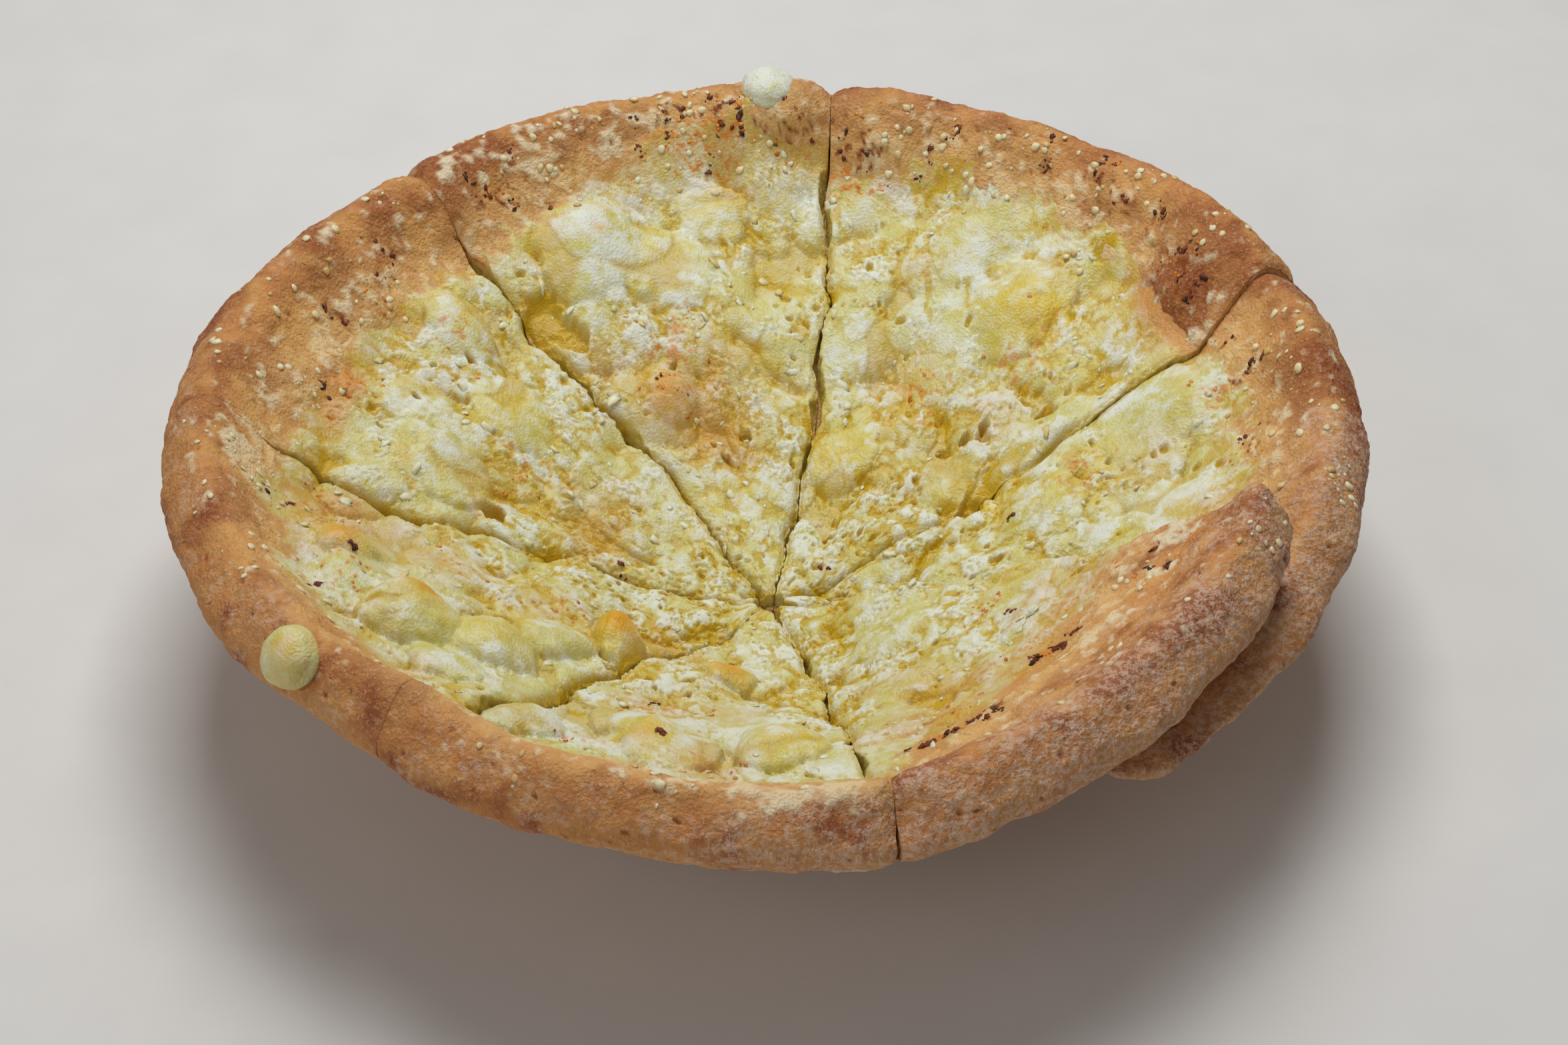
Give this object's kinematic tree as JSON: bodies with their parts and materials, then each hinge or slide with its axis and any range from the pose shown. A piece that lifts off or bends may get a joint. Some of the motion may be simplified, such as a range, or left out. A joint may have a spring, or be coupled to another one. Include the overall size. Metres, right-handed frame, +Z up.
{
  "type": "sliced cheese focaccia",
  "caption": "Round cheese-topped flatbread with a puffed crust, sagged into a shallow cone and cut into wedges that still keep its shape.",
  "frame": {"origin": "on the surface that the loaf rests on, under the middle of its plan", "axes": "+Z up out of the hollow top; -Y towards the front, where one slice rides on its neighbour to the right (+X)"},
  "size_m": [0.2634, 0.264, 0.0811],
  "materials": {
    "crust": "dry baked crust, golden tan with browner patches",
    "cheese": "baked cheese, pale yellow, slightly greasy"
  },
  "bodies": {
    "root": {"slice_1_bread": "crust", "slice_1_cheese": "cheese", "slice_2_bread": "crust", "slice_2_cheese": "cheese", "slice_3_bread": "crust", "slice_3_cheese": "cheese", "slice_4_bread": "crust", "slice_4_cheese": "cheese", "slice_5_bread": "crust", "slice_5_cheese": "cheese", "slice_6_bread": "crust", "slice_6_cheese": "cheese", "slice_7_bread": "crust", "slice_7_cheese": "cheese", "cheese_bubble_back": "cheese", "cheese_bubble_left": "cheese"}
  },
  "joints": []
}
